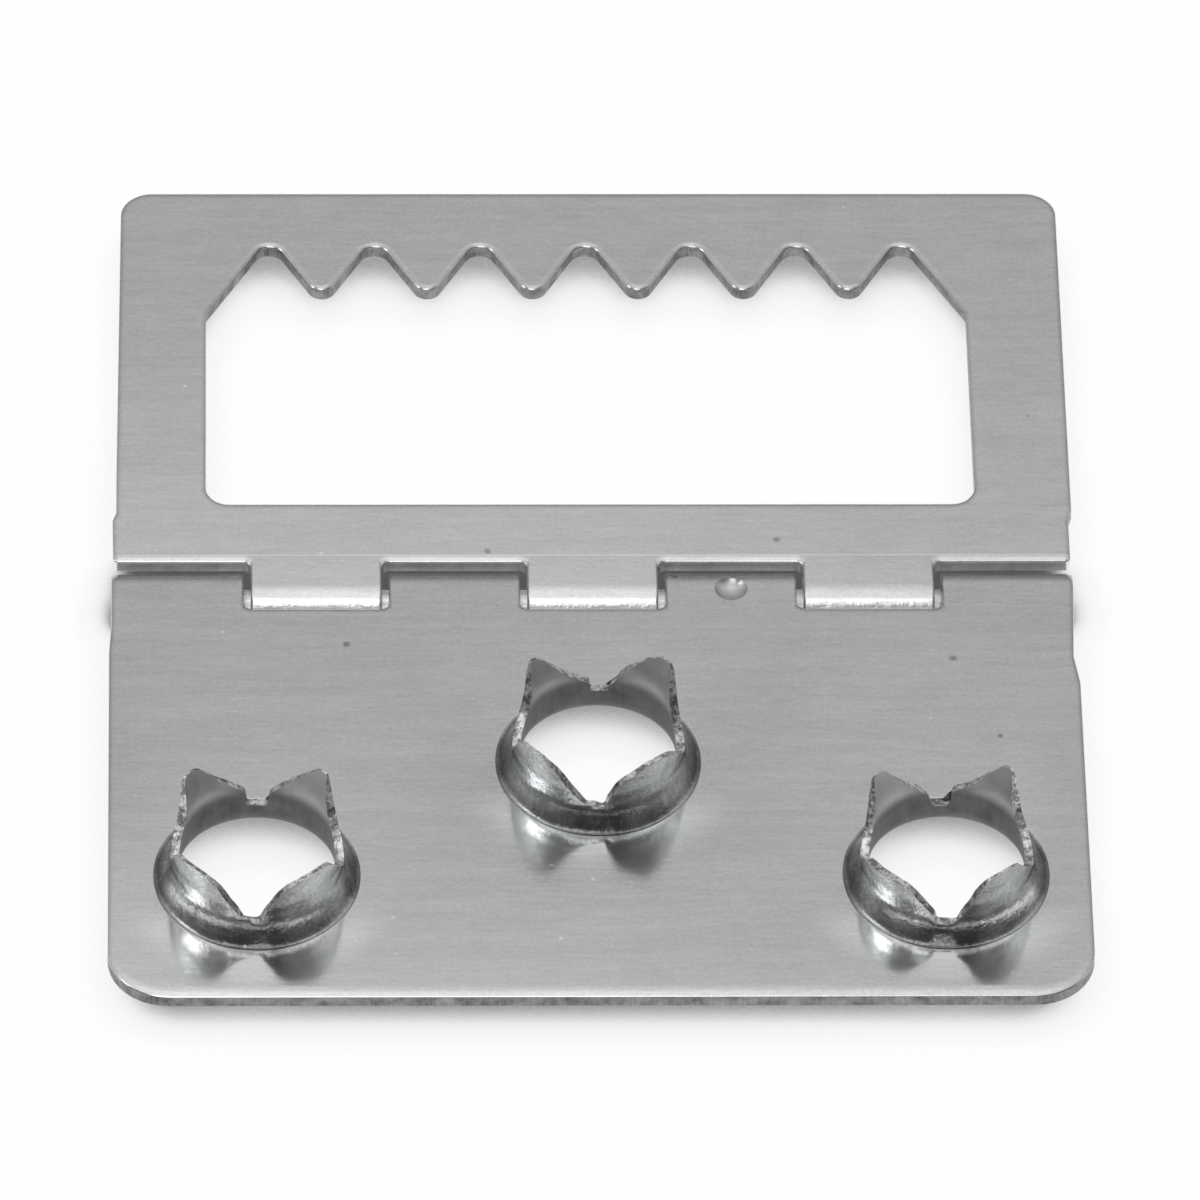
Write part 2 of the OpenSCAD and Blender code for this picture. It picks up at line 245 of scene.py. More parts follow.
def hinge_edge(own, half):
    """Corners along the hinge of a leaf that owns the given knuckles, from left to right."""
    out = []
    last = KNUCKLES - 1
    for i in range(KNUCKLES):
        reach = (KNUCKLE_PITCH - KNUCKLE_GAP) / 2 + (0 if i in own else KNUCKLE_GAP)
        x0 = -half if i == 0 else knuckle_x(i) - reach
        x1 = half if i == last else knuckle_x(i) + reach
        if i in own:
            out += [(x0, 0, 0), (x1, 0, 0)]
        else:
            a, b = (0.25 if i == end else NOTCH_CORNER for end in (0, last))
            out += [(x0, NOTCH_Y, a), (x1, NOTCH_Y, b)]
    return out


def new_object(name):
    """An empty mesh object at the origin, selected alone and in edit mode."""
    bpy.ops.object.select_all(action="DESELECT")
    mesh = bpy.data.meshes.new(name)
    piece = bpy.data.objects.new(name, mesh)
    bpy.context.scene.collection.objects.link(piece)
    bpy.context.view_layer.objects.active = piece
    piece.select_set(True)
    return piece


def edit(piece):
    """Goes to edit mode on one piece, with nothing selected in it."""
    bpy.context.view_layer.objects.active = piece
    bpy.ops.object.mode_set(mode="EDIT")
    bpy.ops.mesh.select_mode(type="VERT")
    bpy.ops.mesh.select_all(action="DESELECT")


def done():
    """Leaves edit mode."""
    bpy.ops.object.mode_set(mode="OBJECT")


def add_loop(piece, points, z):
    """Adds a closed loop of vertices through the points, at height z, and leaves it selected."""
    edit(piece)
    first = len(piece.data.vertices)
    bpy.ops.mesh.primitive_circle_add(vertices=len(points), radius=MM, fill_type="NOTHING")
    done()
    for v, p in zip(piece.data.vertices[first:], points):
        v.co = (p.x * MM, p.y * MM, z * MM)
    return first


def select_loops(piece, loops):
    """Selects loops of vertices, each given as (first number, count), and stays in edit mode."""
    edit(piece)
    done()
    for v in piece.data.vertices:
        v.select = any(first <= v.index < first + n for first, n in loops)
    for e in piece.data.edges:
        e.select = all(piece.data.vertices[k].select for k in e.vertices)
    bpy.ops.object.mode_set(mode="EDIT")


def rim_rows(sheet):
    """Rows of a stamped edge above the one at the back: (share of the roll's width, height, roughness)."""
    rough = SHEARED_EDGE
    upright = [(0, 0.1, rough), (0, 0.2, rough), (0, 0.32, rough), (0, 0.46, 0.3 * rough),
               (0, sheet - ROLL_DEPTH - 0.02, 0)]
    roll = [(t, sheet - ROLL_DEPTH * (1 - t) ** 2, 0) for t in (0.05, 0.12, 0.22, 0.34, 0.5, 0.7, 1)]
    return upright + roll + [(FLAT_SHARE, sheet, 0)]


def roll_width(p, q, end, side, lower=None):
    """Width of the rolled-over edge along one stretch of an outline."""
    if abs(p.y) < 1e-6 and abs(q.y) < 1e-6:
        return 0
    y = abs(p.y + q.y) / 2
    if y < NOTCH_Y - 0.01:
        return 0.1 + 0.24 * max(0, min(1, (y - 0.9) / 0.6))
    if y < NOTCH_Y + 0.3:
        return 0.34 + 0.004 * math.sin(p.x + q.x)
    along = (q - p).normalized()
    across = end if lower is None or y > 9 else lower
    return across * along.x ** 2 + side * along.y ** 2


def roll_widths(points, end, side, lower=None):
    """Width of the rolled-over edge before and after each point of an outline."""
    n = len(points)
    stretches = [roll_width(points[i], points[(i + 1) % n], end, side, lower) for i in range(n)]
    return [(stretches[i - 1], stretches[i]) for i in range(n)]


def stamp(piece, outlines, rings, sheet, top):
    """Closed sheet with rolled-over upper edges, with open rings left for the crowns.

    Each outline comes with the widths of its roll.
    """
    back_loops = []
    face_loops = []
    for points, widths in outlines:
        n = len(points)
        first = add_loop(piece, points, top - sheet)
        back_loops.append((first, n))
        innermost = inset(points, [(a * FLAT_SHARE, b * FLAT_SHARE) for a, b in widths])
        for share, height, rough in rim_rows(sheet):
            select_loops(piece, [(first, n)])
            bpy.ops.mesh.extrude_edges_move()
            done()
            first = len(piece.data.vertices) - n
            inner = [q + (w - q) * share / FLAT_SHARE for q, w in zip(points, innermost)]
            for v, p, q in zip(piece.data.vertices[first:], inner, points):
                shake = rough * min(0, noise.noise(Vector((q.x * 3, q.y * 3, height * 7))) - 0.2)
                out = Vector((q.x, q.y)).normalized() * shake * (abs(q.y) > 2)
                v.co = ((p.x + out.x) * MM, (p.y + out.y) * MM, (top - sheet + height) * MM)
        face_loops.append((first, n))
    for ring in rings:
        face_loops.append((add_loop(piece, ring, top), len(ring)))
        back_loops.append((add_loop(piece, ring, top - sheet), len(ring)))
    for loops in (face_loops, back_loops):
        select_loops(piece, loops)
        bpy.ops.mesh.fill(use_beauty=True)
        done()


def recalculate(piece):
    """Merges doubles and turns all faces outwards."""
    edit(piece)
    bpy.ops.mesh.select_all(action="SELECT")
    bpy.ops.mesh.remove_doubles(threshold=1e-7)
    bpy.ops.mesh.normals_make_consistent(inside=False)
    bpy.ops.mesh.select_all(action="DESELECT")
    done()


def roll_knuckles(piece, side, axis_z):
    """Spins the ends of the tabs, which stand on the axis, round the pin."""
    edit(piece)
    done()
    for p in piece.data.polygons:
        p.select = all(abs(piece.data.vertices[v].co.y) < 1e-7 for v in p.vertices)
    bpy.ops.object.mode_set(mode="EDIT")
    bpy.ops.mesh.select_mode(type="FACE")
    turn = -math.radians(KNUCKLE_TURN) * side
    bpy.ops.mesh.spin(steps=54, angle=turn, center=(0, 0, axis_z * MM), axis=(1, 0, 0))
    bpy.ops.mesh.dissolve_faces()
    bpy.ops.mesh.select_mode(type="VERT")
    done()


def smooth(piece, angle=35):
    """Smooth shading, with edges sharper than the angle kept."""
    bpy.ops.object.select_all(action="DESELECT")
    piece.select_set(True)
    bpy.context.view_layer.objects.active = piece
    bpy.ops.object.shade_smooth_by_angle(angle=math.radians(angle))


def join(piece, others):
    """Joins other objects into the piece."""
    bpy.ops.object.select_all(action="DESELECT")
    for o in others:
        o.select_set(True)
    piece.select_set(True)
    bpy.context.view_layer.objects.active = piece
    bpy.ops.object.join()


def crown_columns(edge, pitch=0.09):
    """Columns of a crown as (base angle, top angle, top height), spread evenly along its sheared edge."""
    r = 4.0
    wrap = 2 * math.pi * r
    points = [(math.radians(a) * r, z) for a, z in edge]
    points.append((points[0][0] + wrap, points[0][1]))
    tops = []
    for (s0, z0), (s1, z1) in zip(points, points[1:]):
        n = max(1, round(math.hypot(s1 - s0, z1 - z0) / pitch))
        tops += [(s0 + (s1 - s0) * k / n, z0 + (z1 - z0) * k / n) for k in range(n)]
    count = len(tops)
    for _ in range(2):
        before = [(tops[-1][0] - wrap, tops[-1][1])] + tops[:-1]
        after = tops[1:] + [(tops[0][0] + wrap, tops[0][1])]
        tops = [((a[0] + 2 * b[0] + c[0]) / 4, (a[1] + 2 * b[1] + c[1]) / 4)
                for a, b, c in zip(before, tops, after)]
    start = tops[0][0] / r
    return [(start + 2 * math.pi * k / count, s / r, z) for k, (s, z) in enumerate(tops)]


def crown_ring(columns, r):
    """Points of a circle at the base angles of a crown's columns."""
    return [Vector((r * math.cos(a), r * math.sin(a))) for a, _, _ in columns]


def crown(place, columns, face_z, sheet, wall, seed):
    """One pierced crown from the ring on the face, over its torn edge, down to the ring at the back."""
    fillet = 0.68
    ring = CROWN_OUTER + fillet
    flare = fillet + wall
    bore = CROWN_OUTER - wall
    crease = ((CROWN_RING, 0), (4.77, -0.003), (4.735, -0.014), (4.7, -0.026), (4.68, -0.03), (4.66, -0.028))
    foot = ((4.6, -0.003), (4.53, 0.05), (4.45, 0.15), (4.36, 0.28), (4.26, 0.43), (4.17, 0.58), (4.09, 0.74),
            (4.03, 0.9), (3.99, 1.06), (CROWN_OUTER, 1.2))
    bore_foot = 0.38
    outer_rows, inner_rows, edge_rows, bend_rows = 14, 14, 4, 9
    rows = len(crease) + 1 + len(foot) + outer_rows + edge_rows - 1 + inner_rows + bend_rows + 1
    bpy.ops.object.select_all(action="DESELECT")
    bpy.ops.mesh.primitive_grid_add(x_subdivisions=len(columns), y_subdivisions=rows - 1, size=MM)
    piece = bpy.context.object
    piece.name = "crown"
    nx = len(columns) + 1

    def outer_at(z):
        """Radius of the outside, which leans outwards near the tips."""
        return CROWN_OUTER + 0.25 * max(0, (z - 1.9) / 2.05)

    def inner_at(z, a):
        """Radius of the inside at an angle, where the wall thins out towards the tips."""
        from_middle = a % (math.pi / 2) - math.pi / 4
        start = 2.3 - 0.75 * min(1, abs(from_middle) / math.radians(34)) ** 2
        t = max(0, min(1, (z - start) / max(0.3, 3.85 - start)))
        return bore + (outer_at(z) - 0.1 - bore) * t

    grid = []
    for k in range(nx):
        base, top, height = columns[k % len(columns)]
        if k == len(columns):
            base, top = base + 2 * math.pi, top + 2 * math.pi
        foot_z = min(foot[-1][1], height - 0.08)
        line = [(base, r, z) for r, z in crease]
        line += [(base, r, z * foot_z / foot[-1][1]) for r, z in foot]

        def up(from_z, t):
            """Angle and height at a share of the way up to the torn edge."""
            return base + (top - base) * t ** 1.3, from_z + t * (height - from_z)
        for j in range(1, outer_rows + 1):
            a, z = up(foot_z, j / outer_rows)
            line.append((a, outer_at(z), z))
        for j in range(1, edge_rows):
            t = j / edge_rows
            r = outer_at(height) + (inner_at(height, top) - outer_at(height)) * t
            spot = Vector((math.cos(top) * 26 + seed, math.sin(top) * 26, t * 3 + height * 5))
            shake = 0.035 * noise.noise(spot)
            line.append((top, r, min(CROWN_TOP, height + shake)))
        for j in range(inner_rows, 0, -1):
            a, z = up(bore_foot, j / inner_rows)
            line.append((a, inner_at(z, a), z))
        for j in range(bend_rows, -1, -1):
            t = math.radians(-90 - 90 * j / bend_rows)
            line.append((base, ring + flare * math.cos(t), flare - sheet + flare * math.sin(t)))
        line.append((base, CROWN_RING, -sheet))
        grid.append(line)
    if len(grid[0]) * nx != len(piece.data.vertices):
        raise RuntimeError("The rows of the crown don't fill its grid")
    for i, v in enumerate(piece.data.vertices):
        a, r, z = grid[i % nx][i // nx]
        v.co = ((place[0] + r * math.cos(a)) * MM, (place[1] + r * math.sin(a)) * MM, (face_z + z) * MM)
    first_edge = len(crease) - 1 + len(foot) + outer_rows
    last_edge = first_edge + edge_rows
    for name in ("zinc plate, fixing leaf", "sheared edge", "burnished crown with painted sheen", "torn prong edge",
                 "dull bore"):
        piece.data.materials.append(bpy.data.materials[name])
    for p in piece.data.polygons:
        row = min(p.vertices) // nx
        p.material_index = 0 if row < 2 else 2 if row < first_edge else 3 if row < last_edge else 4
    return piece


def leaf_lengths(sizes):
    """Sheet, height of the hinge axis, height of the face, depth and half width of a leaf, in mm."""
    sheet = sizes.sheet / MM
    bore = sizes.pin_diameter / MM / 2 + sizes.pin_clearance / MM
    axis_z = bore + sheet
    return sheet, axis_z, axis_z + bore + sheet, sizes.leaf_depth / MM, sizes.leaf_width / MM / 2


def mirrored(points):
    """The outline on the other side of the hinge."""
    return [Vector((p.x, -p.y)) for p in points]


class HANGER_OT_sawtooth_leaf(bpy.types.Operator):
    """Model the leaf with the sawtooth window and its three rolled knuckles"""
    bl_idname = "hanger.sawtooth_leaf"
    bl_label = "Sawtooth leaf"

    def execute(self, context):
        sheet, axis_z, top, depth, half = leaf_lengths(context.scene.hanger_sizes)
        # The sides step in at the hinge, and the left one is cut aslant
        outer = rounded(
            hinge_edge((1, 3, 5), 22.33)
            + [(22.33, 4.2, 0.3), (half, 4.9, 0.3), (half, depth, 1.5), (-22.03, depth, 1.5), (-22.2, 7, 2),
               (-22.2, 4.75, 0.3), (-22.37, 4.25, 0.3)])
        outer = wound(outer, True)
        rack = []
        for i in range(-6, 7):
            x = i * TOOTH_PITCH / 2
            rack += arc(x, *VALLEY, 150, 30, 16) if i % 2 == 0 else arc(x, *TOOTH_TIP, 210, 330, 16)
        window = rack + rounded([(18, 17.9, 0), (18, 5.3, 1.1), (-18, 5.3, 1.1), (-18, 17.9, 0)])
        window = wound(window, False)

        piece = new_object("zinc_sawtooth_leaf")
        outlines = [(outer, roll_widths(outer, 0.45, 0.3)), (window, roll_widths(window, 0.28, 0.28, 0.4))]
        stamp(piece, outlines, [], sheet, top)
        recalculate(piece)
        roll_knuckles(piece, 1, axis_z)
        recalculate(piece)
        smooth(piece)
        piece.data.materials.append(bpy.data.materials["zinc plate, sawtooth leaf"])
        piece.data.materials.append(bpy.data.materials["sheared edge"])
        mark_sheared(piece, top, sheet)
        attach(piece, "hanging_side")
        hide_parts("sawtooth_leaf")
        return {"FINISHED"}


def mark_sheared(piece, top, sheet):
    """Gives the upright faces of the stamped edges, and the ends of the barrels, the sheared finish."""
    for p in piece.data.polygons:
        if p.material_index > 1:
            continue
        c = p.center / MM
        upright = abs(p.normal.z) < 0.35 and abs(c.y) > 0.02 and top - sheet - 0.01 < c.z < top
        barrel_end = abs(p.normal.x) > 0.9 and abs(c.y) < 1.6
        if upright or barrel_end:
            p.material_index = 1


class HANGER_OT_fixing_leaf(bpy.types.Operator):
    """Model the leaf with the three pierced crowns and its four rolled knuckles"""
    bl_idname = "hanger.fixing_leaf"
    bl_label = "Fixing leaf"

    def execute(self, context):
        sizes = context.scene.hanger_sizes
        sheet, axis_z, top, depth, half = leaf_lengths(sizes)
        # As far as mirrored(), the leaf lies on the sawtooth leaf's side of the hinge
        outer = rounded(
            hinge_edge((0, 2, 4, 6), 22.4)
            + [(22.25, 4.6, 0.4), (half, 6.3, 0.4), (half, depth, 2.8), (-half, depth, 2.8),
               (-half, 6, 0.3), (-22.5, 4.3, 0.3), (-22.42, 2.9, 0.3)])
        outer = wound(mirrored(outer), True)
        crowns = []
        rings = []
        piece = new_object("zinc_fixing_leaf")
        piece.data.materials.append(bpy.data.materials["zinc plate, fixing leaf"])
        piece.data.materials.append(bpy.data.materials["sheared edge"])
        for i, (place, edge) in enumerate(zip(CROWN_PLACES, CROWN_EDGES)):
            columns = crown_columns(edge)
            rings.append([p + Vector(place) for p in crown_ring(columns, CROWN_RING)])
            crowns.append(crown(place, columns, top, sheet, sizes.crown_wall / MM, i * 7.3))
        stamp(piece, [(outer, roll_widths(outer, 0.55, 0.28))], rings, sheet, top)
        recalculate(piece)
        roll_knuckles(piece, -1, axis_z)
        join(piece, crowns)
        recalculate(piece)
        mark_sheared(piece, top, sheet)
        stake(piece, top)
        smooth(piece)
        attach(piece, "fixing_side")
        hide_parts("fixing_leaf")
        return {"FINISHED"}


def stake(piece, top):
    """Punches the dimple that locks the pin."""
    bpy.ops.object.select_all(action="DESELECT")
    middle = (KNUCKLE_PITCH * MM, -0.3 * MM, (top - STAKE_DEPTH + STAKE_RADIUS) * MM)
    bpy.ops.mesh.primitive_uv_sphere_add(
        segments=64, ring_count=32, radius=STAKE_RADIUS * MM, location=middle)
    punch = bpy.context.object
    punch.data.materials.append(bpy.data.materials["zinc plate, fixing leaf"])
    bpy.ops.object.select_all(action="DESELECT")
    piece.select_set(True)
    bpy.context.view_layer.objects.active = piece
    cut = piece.modifiers.new("dimple", "BOOLEAN")
    cut.operation = "DIFFERENCE"
    cut.solver = "EXACT"
    cut.object = punch
    bpy.ops.object.modifier_apply(modifier=cut.name)
    bpy.data.objects.remove(punch)


class HANGER_OT_hinge_pin(bpy.types.Operator):
    """Model the wire pin that the hinge turns on"""
    bl_idname = "hanger.hinge_pin"
    bl_label = "Hinge pin"

    def execute(self, context):
        sizes = context.scene.hanger_sizes
        r = sizes.pin_diameter / MM / 2
        axis_z = r + (sizes.pin_clearance + sizes.sheet) / MM
        low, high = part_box("hinge_pin")
        half = (high.x - low.x) / 2
        bpy.ops.object.select_all(action="DESELECT")
        bpy.ops.mesh.primitive_cylinder_add(
            vertices=64, radius=r * MM, depth=2 * half, rotation=(0, math.pi / 2, 0),
            location=(0, 0, axis_z * MM))
        piece = bpy.context.object
        piece.name = "zinc_hinge_pin"
        bpy.ops.object.transform_apply(location=True, rotation=True, scale=True)
        edit(piece)
        done()
        for p in piece.data.polygons:
            p.select = abs(p.normal.x) > 0.9
        for e in piece.data.edges:
            a, b = (piece.data.vertices[k].co for k in e.vertices)
            e.select = abs(a.x - b.x) < 1e-7
        bpy.ops.object.mode_set(mode="EDIT")
        bpy.ops.mesh.select_mode(type="EDGE")
        bpy.ops.mesh.bevel(offset=0.2 * MM, segments=4, affect="EDGES")
        bpy.ops.mesh.select_mode(type="VERT")
        done()
        smooth(piece)
        piece.data.materials.append(bpy.data.materials["drawn wire"])
        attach(piece, "fixing_side")
        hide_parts("hinge_pin")
        return {"FINISHED"}


def add_node(tree, kind, **values):
    """A shader node with its properties set."""
    node = tree.nodes.new(kind)
    for key, value in values.items():
        setattr(node, key, value)
    return node


def set_inputs(node, values):
    """Sets a node's sockets by name or number."""
    for key, value in values.items():
        node.inputs[key].default_value = value
    return node


def math_node(tree, operation, a, b=None, c=None, clamp=False):
    """A Math node on sockets or numbers, and its result."""
    node = add_node(tree, "ShaderNodeMath", operation=operation, use_clamp=clamp)
    for i, v in enumerate((a, b, c)):
        if v is None:
            continue
        if isinstance(v, (int, float)):
            node.inputs[i].default_value = v
        else:
            tree.links.new(v, node.inputs[i])
    return node.outputs[0]


def map_range(tree, value, low, high, to_low, to_high, kind="SMOOTHSTEP"):
    """A value moved from one range to another."""
    node = add_node(tree, "ShaderNodeMapRange", interpolation_type=kind)
    tree.links.new(value, node.inputs["Value"])
    set_inputs(node, {"From Min": low, "From Max": high, "To Min": to_low, "To Max": to_high})
    return node.outputs[0]


def grey_ramp(tree, value, stops, kind="LINEAR"):
    """A value moved along a row of greys, given as (place, grey)."""
    node = add_node(tree, "ShaderNodeValToRGB")
    node.color_ramp.interpolation = kind
    tree.links.new(value, node.inputs[0])
    elements = node.color_ramp.elements
    for i, (at, grey) in enumerate(stops):
        stop = elements[0] if i == 0 else elements[-1] if i == len(stops) - 1 else elements.new(at)
        stop.position = at
        stop.color = (grey, grey, grey, 1)
    return node.outputs["Color"]


def object_place(tree):
    """Each point's place in the coordinates of its object."""
    return add_node(tree, "ShaderNodeTexCoord").outputs["Object"]


def split(tree, vector):
    """X, Y and Z of a vector."""
    parts = add_node(tree, "ShaderNodeSeparateXYZ")
    tree.links.new(vector, parts.inputs[0])
    return [parts.outputs[axis] for axis in "XYZ"]


def group(name, outputs, inputs=()):
    """An empty shader node group with float sockets: its tree and its two ends."""
    tree = bpy.data.node_groups.new(name, "ShaderNodeTree")
    for key, value in inputs:
        socket = tree.interface.new_socket(key, in_out="INPUT", socket_type="NodeSocketFloat")
        socket.default_value = value
    for key in outputs:
        tree.interface.new_socket(key, in_out="OUTPUT", socket_type="NodeSocketFloat")
    return tree, add_node(tree, "NodeGroupInput"), add_node(tree, "NodeGroupOutput")


def noise_node(tree, vector, scale, detail=3, rough=0.55, stretch=None):
    """Noise of a given scale per metre, centred on nought, drawn out along X where asked."""
    if stretch:
        turn = add_node(tree, "ShaderNodeMapping")
        turn.inputs["Scale"].default_value = stretch
        tree.links.new(vector, turn.inputs["Vector"])
        vector = turn.outputs[0]
    node = add_node(tree, "ShaderNodeTexNoise")
    set_inputs(node, {"Scale": scale, "Detail": detail, "Roughness": rough})
    tree.links.new(vector, node.inputs["Vector"])
    return math_node(tree, "SUBTRACT", node.outputs["Fac"], 0.5)


def make_rolled_grain():
    """Group: the grain and clouding that rolling and plating leave on the sheet."""
    tree, ends, out = group("rolled grain", ("Tone", "Height"), (("Grain", 1), ("Clouds", 1)))
    place = object_place(tree)
    fine = noise_node(tree, place, 7000, 2, 0.6, (0.14, 1, 1))
    streak = noise_node(tree, place, 1900, 3, 0.5, (0.07, 1, 1))
    cloud = noise_node(tree, place, 300, 5, 0.6, (0.75, 1, 1))
    peel = noise_node(tree, place, 5200, 3, 0.6)
    grain = math_node(tree, "MULTIPLY_ADD", streak, 0.8, fine)
    grain = math_node(tree, "MULTIPLY", grain, ends.outputs["Grain"])
    clouds = math_node(tree, "MULTIPLY", cloud, ends.outputs["Clouds"])
    tone = math_node(tree, "MULTIPLY_ADD", clouds, 0.16, math_node(tree, "MULTIPLY", grain, 0.26))
    tree.links.new(math_node(tree, "MULTIPLY_ADD", peel, 0.34, tone), out.inputs["Tone"])
    height = math_node(tree, "MULTIPLY_ADD", peel, 0.9, grain)
    tree.links.new(math_node(tree, "MULTIPLY_ADD", clouds, 0.5, height), out.inputs["Height"])


def make_marks():
    """Group: stray pits and bright specks in the plating."""
    tree, _, out = group("pits and specks", ("Pits", "Specks"))
    place = object_place(tree)
    for name, scale, radius, odds in (("Pits", 480, 0.085, 0.87), ("Specks", 640, 0.085, 0.8)):
        cells = set_inputs(add_node(tree, "ShaderNodeTexVoronoi", feature="F1"), {"Scale": scale})
        tree.links.new(place, cells.inputs["Vector"])
        chance = split(tree, cells.outputs["Color"])[0]
        near = map_range(tree, cells.outputs["Distance"], 0.3 * radius, radius, 1, 0)
        marks = math_node(tree, "MULTIPLY", near, math_node(tree, "GREATER_THAN", chance, odds))
        for x, y in PIT_PLACES if name == "Pits" else ():
            away = add_node(tree, "ShaderNodeVectorMath", operation="DISTANCE")
            set_inputs(away, {1: (x * MM, y * MM, 2.9 * MM)})
            tree.links.new(place, away.inputs[0])
            pit = map_range(tree, away.outputs["Value"], 0.09 * MM, 0.24 * MM, 1, 0)
            marks = math_node(tree, "MAXIMUM", marks, pit)
        tree.links.new(marks, out.inputs[name])


def make_crown_halo():
    """Group: Halo, 1 on the plate in front of each crown for a painted glow; Prongs, 1 up each prong's
    middle.
    """
    tree, _, out = group("crown halo", ("Halo", "Prongs"))
    place = object_place(tree)
    total = None
    prongs = 0
    for x, y in CROWN_PLACES:
        away = add_node(tree, "ShaderNodeVectorMath", operation="SUBTRACT")
        tree.links.new(place, away.inputs[0])
        away.inputs[1].default_value = (x * MM, y * MM, 0)
        across, along, _ = split(tree, away.outputs[0])
        flat = add_node(tree, "ShaderNodeCombineXYZ")
        tree.links.new(across, flat.inputs["X"])
        tree.links.new(along, flat.inputs["Y"])
        length = add_node(tree, "ShaderNodeVectorMath", operation="LENGTH")
        tree.links.new(flat.outputs[0], length.inputs[0])
        ring = map_range(tree, length.outputs["Value"], 4.7 * MM, 7.4 * MM, 1, 0)
        front = map_range(tree, along, -4.2 * MM, -1.5 * MM, 1, 0)
        one = math_node(tree, "MULTIPLY", ring, front)
        total = one if total is None else math_node(tree, "MAXIMUM", total, one)
        square = math_node(tree, "POWER", length.outputs["Value"], 2)
        turn = math_node(tree, "DIVIDE", math_node(tree, "MULTIPLY", across, along), square)
        inside = math_node(tree, "LESS_THAN", length.outputs["Value"], 5 * MM)
        prongs = math_node(tree, "MULTIPLY_ADD", math_node(tree, "ABSOLUTE", turn), inside, prongs)
    tree.links.new(total, out.inputs["Halo"])
    tree.links.new(math_node(tree, "MULTIPLY", prongs, 2), out.inputs["Prongs"])


def metal(name, colour, roughness):
    """Makes a bare metal material, and gives its tree and shader."""
    made = bpy.data.materials.new(name)
    made.use_nodes = True
    tree = made.node_tree
    shader = tree.nodes["Principled BSDF"]
    shader.inputs["Metallic"].default_value = 1
    shader.inputs["Base Color"].default_value = (*colour, 1)
    shader.inputs["Roughness"].default_value = roughness
    return tree, shader


def use_group(tree, kind, **values):
    """A node group placed in a material with its own values."""
    node = add_node(tree, "ShaderNodeGroup", node_tree=bpy.data.node_groups[kind])
    return set_inputs(node, values)


def tint(tree, shader, colour, tone):
    """Feeds the metal's colour, made lighter or darker by a tone round 1."""
    node = add_node(tree, "ShaderNodeVectorMath", operation="SCALE")
    node.inputs[0].default_value = colour
    tree.links.new(tone, node.inputs["Scale"])
    tree.links.new(node.outputs[0], shader.inputs["Base Color"])


def bump(tree, shader, height, size, strength=1.0):
    """Feeds the normal from a height, in metres for each unit of it."""
    node = set_inputs(add_node(tree, "ShaderNodeBump"), {"Strength": strength, "Distance": size})
    tree.links.new(height, node.inputs["Height"])
    tree.links.new(node.outputs[0], shader.inputs["Normal"])


def plate(name, colour, roughness, painted_light_map, halo, tool_line_highlight):
    """Satin zinc on the flat of a leaf.

    The light map gives painted sheen and shade as a slow change of tone from X and Y, halo how much a
    painted reflection of the crowns lightens the plate in front of them, and the tool line value how
    much the line that the bending tool left is painted brighter as a highlight, on top of its bump.
    """
    tree, shader = metal(name, colour, roughness)
    grain = use_group(tree, "rolled grain", Grain=1.0, Clouds=1.0)
    marks = use_group(tree, "pits and specks")
    place = object_place(tree)
    x, y, _ = split(tree, place)
    hinge = math_node(tree, "ABSOLUTE", y)

    # Painted sheen and shade from the light map, added to the real grain of the plating
    tone = math_node(tree, "ADD", painted_light_map(tree, x, y), grain.outputs["Tone"])
    tone = math_node(tree, "MULTIPLY_ADD", marks.outputs["Specks"], 0.5, tone)
    tone = math_node(tree, "MULTIPLY_ADD", marks.outputs["Pits"], -0.45, tone)
    rough = math_node(tree, "MULTIPLY_ADD", grain.outputs["Tone"], -0.35, roughness)
    if halo:
        # Painted reflection of the crowns, lightening the plate in front of them
        painted_crown_glow = use_group(tree, "crown halo").outputs["Halo"]
        tone = math_node(tree, "MULTIPLY_ADD", painted_crown_glow, halo, tone)
        rough = math_node(tree, "MULTIPLY_ADD", painted_crown_glow, -0.08, rough)
    # The bending tool's line: a real ridge in the bump, and painted brighter as a highlight
    line = math_node(tree, "ABSOLUTE", math_node(tree, "SUBTRACT", hinge, 1.87 * MM))
    ridge = map_range(tree, line, 0, 0.07 * MM, 1, 0)
    tint(tree, shader, colour, math_node(tree, "MULTIPLY_ADD", ridge, tool_line_highlight, tone))

    rough = math_node(tree, "MULTIPLY_ADD", marks.outputs["Pits"], 0.25, rough, clamp=True)
    near = map_range(tree, hinge, 0.1 * MM, 1.5 * MM, 1, 0)
    tree.links.new(math_node(tree, "MULTIPLY_ADD", near, 0.09, rough), shader.inputs["Roughness"])

    bend = math_node(tree, "MULTIPLY", map_range(tree, hinge, 0.75 * MM, 1.25 * MM, 0, 1),
                     map_range(tree, hinge, 1.5 * MM, 1.52 * MM, 1, 0))
    peeled = math_node(tree, "MULTIPLY", noise_node(tree, place, 3300, 3, 0.6),
                       math_node(tree, "MULTIPLY_ADD", near, 0.35, bend))
    height = math_node(tree, "ADD", grain.outputs["Height"], ridge)
    height = math_node(tree, "MULTIPLY_ADD", marks.outputs["Pits"], -5, height)
    height = math_node(tree, "MULTIPLY_ADD", peeled, 26, height)
    bump(tree, shader, height, 0.0011 * MM)


def sawtooth_painted_sheen(tree, x, y):
    """Painted sheen: lighter towards the hinge, less so on the right."""
    near = map_range(tree, y, 1 * MM, 17 * MM, 1, 0, "LINEAR")
    right = map_range(tree, x, -4 * MM, 22 * MM, 0.24, 0.12)
    return math_node(tree, "ADD", math_node(tree, "MULTIPLY", near, right), 0.98)


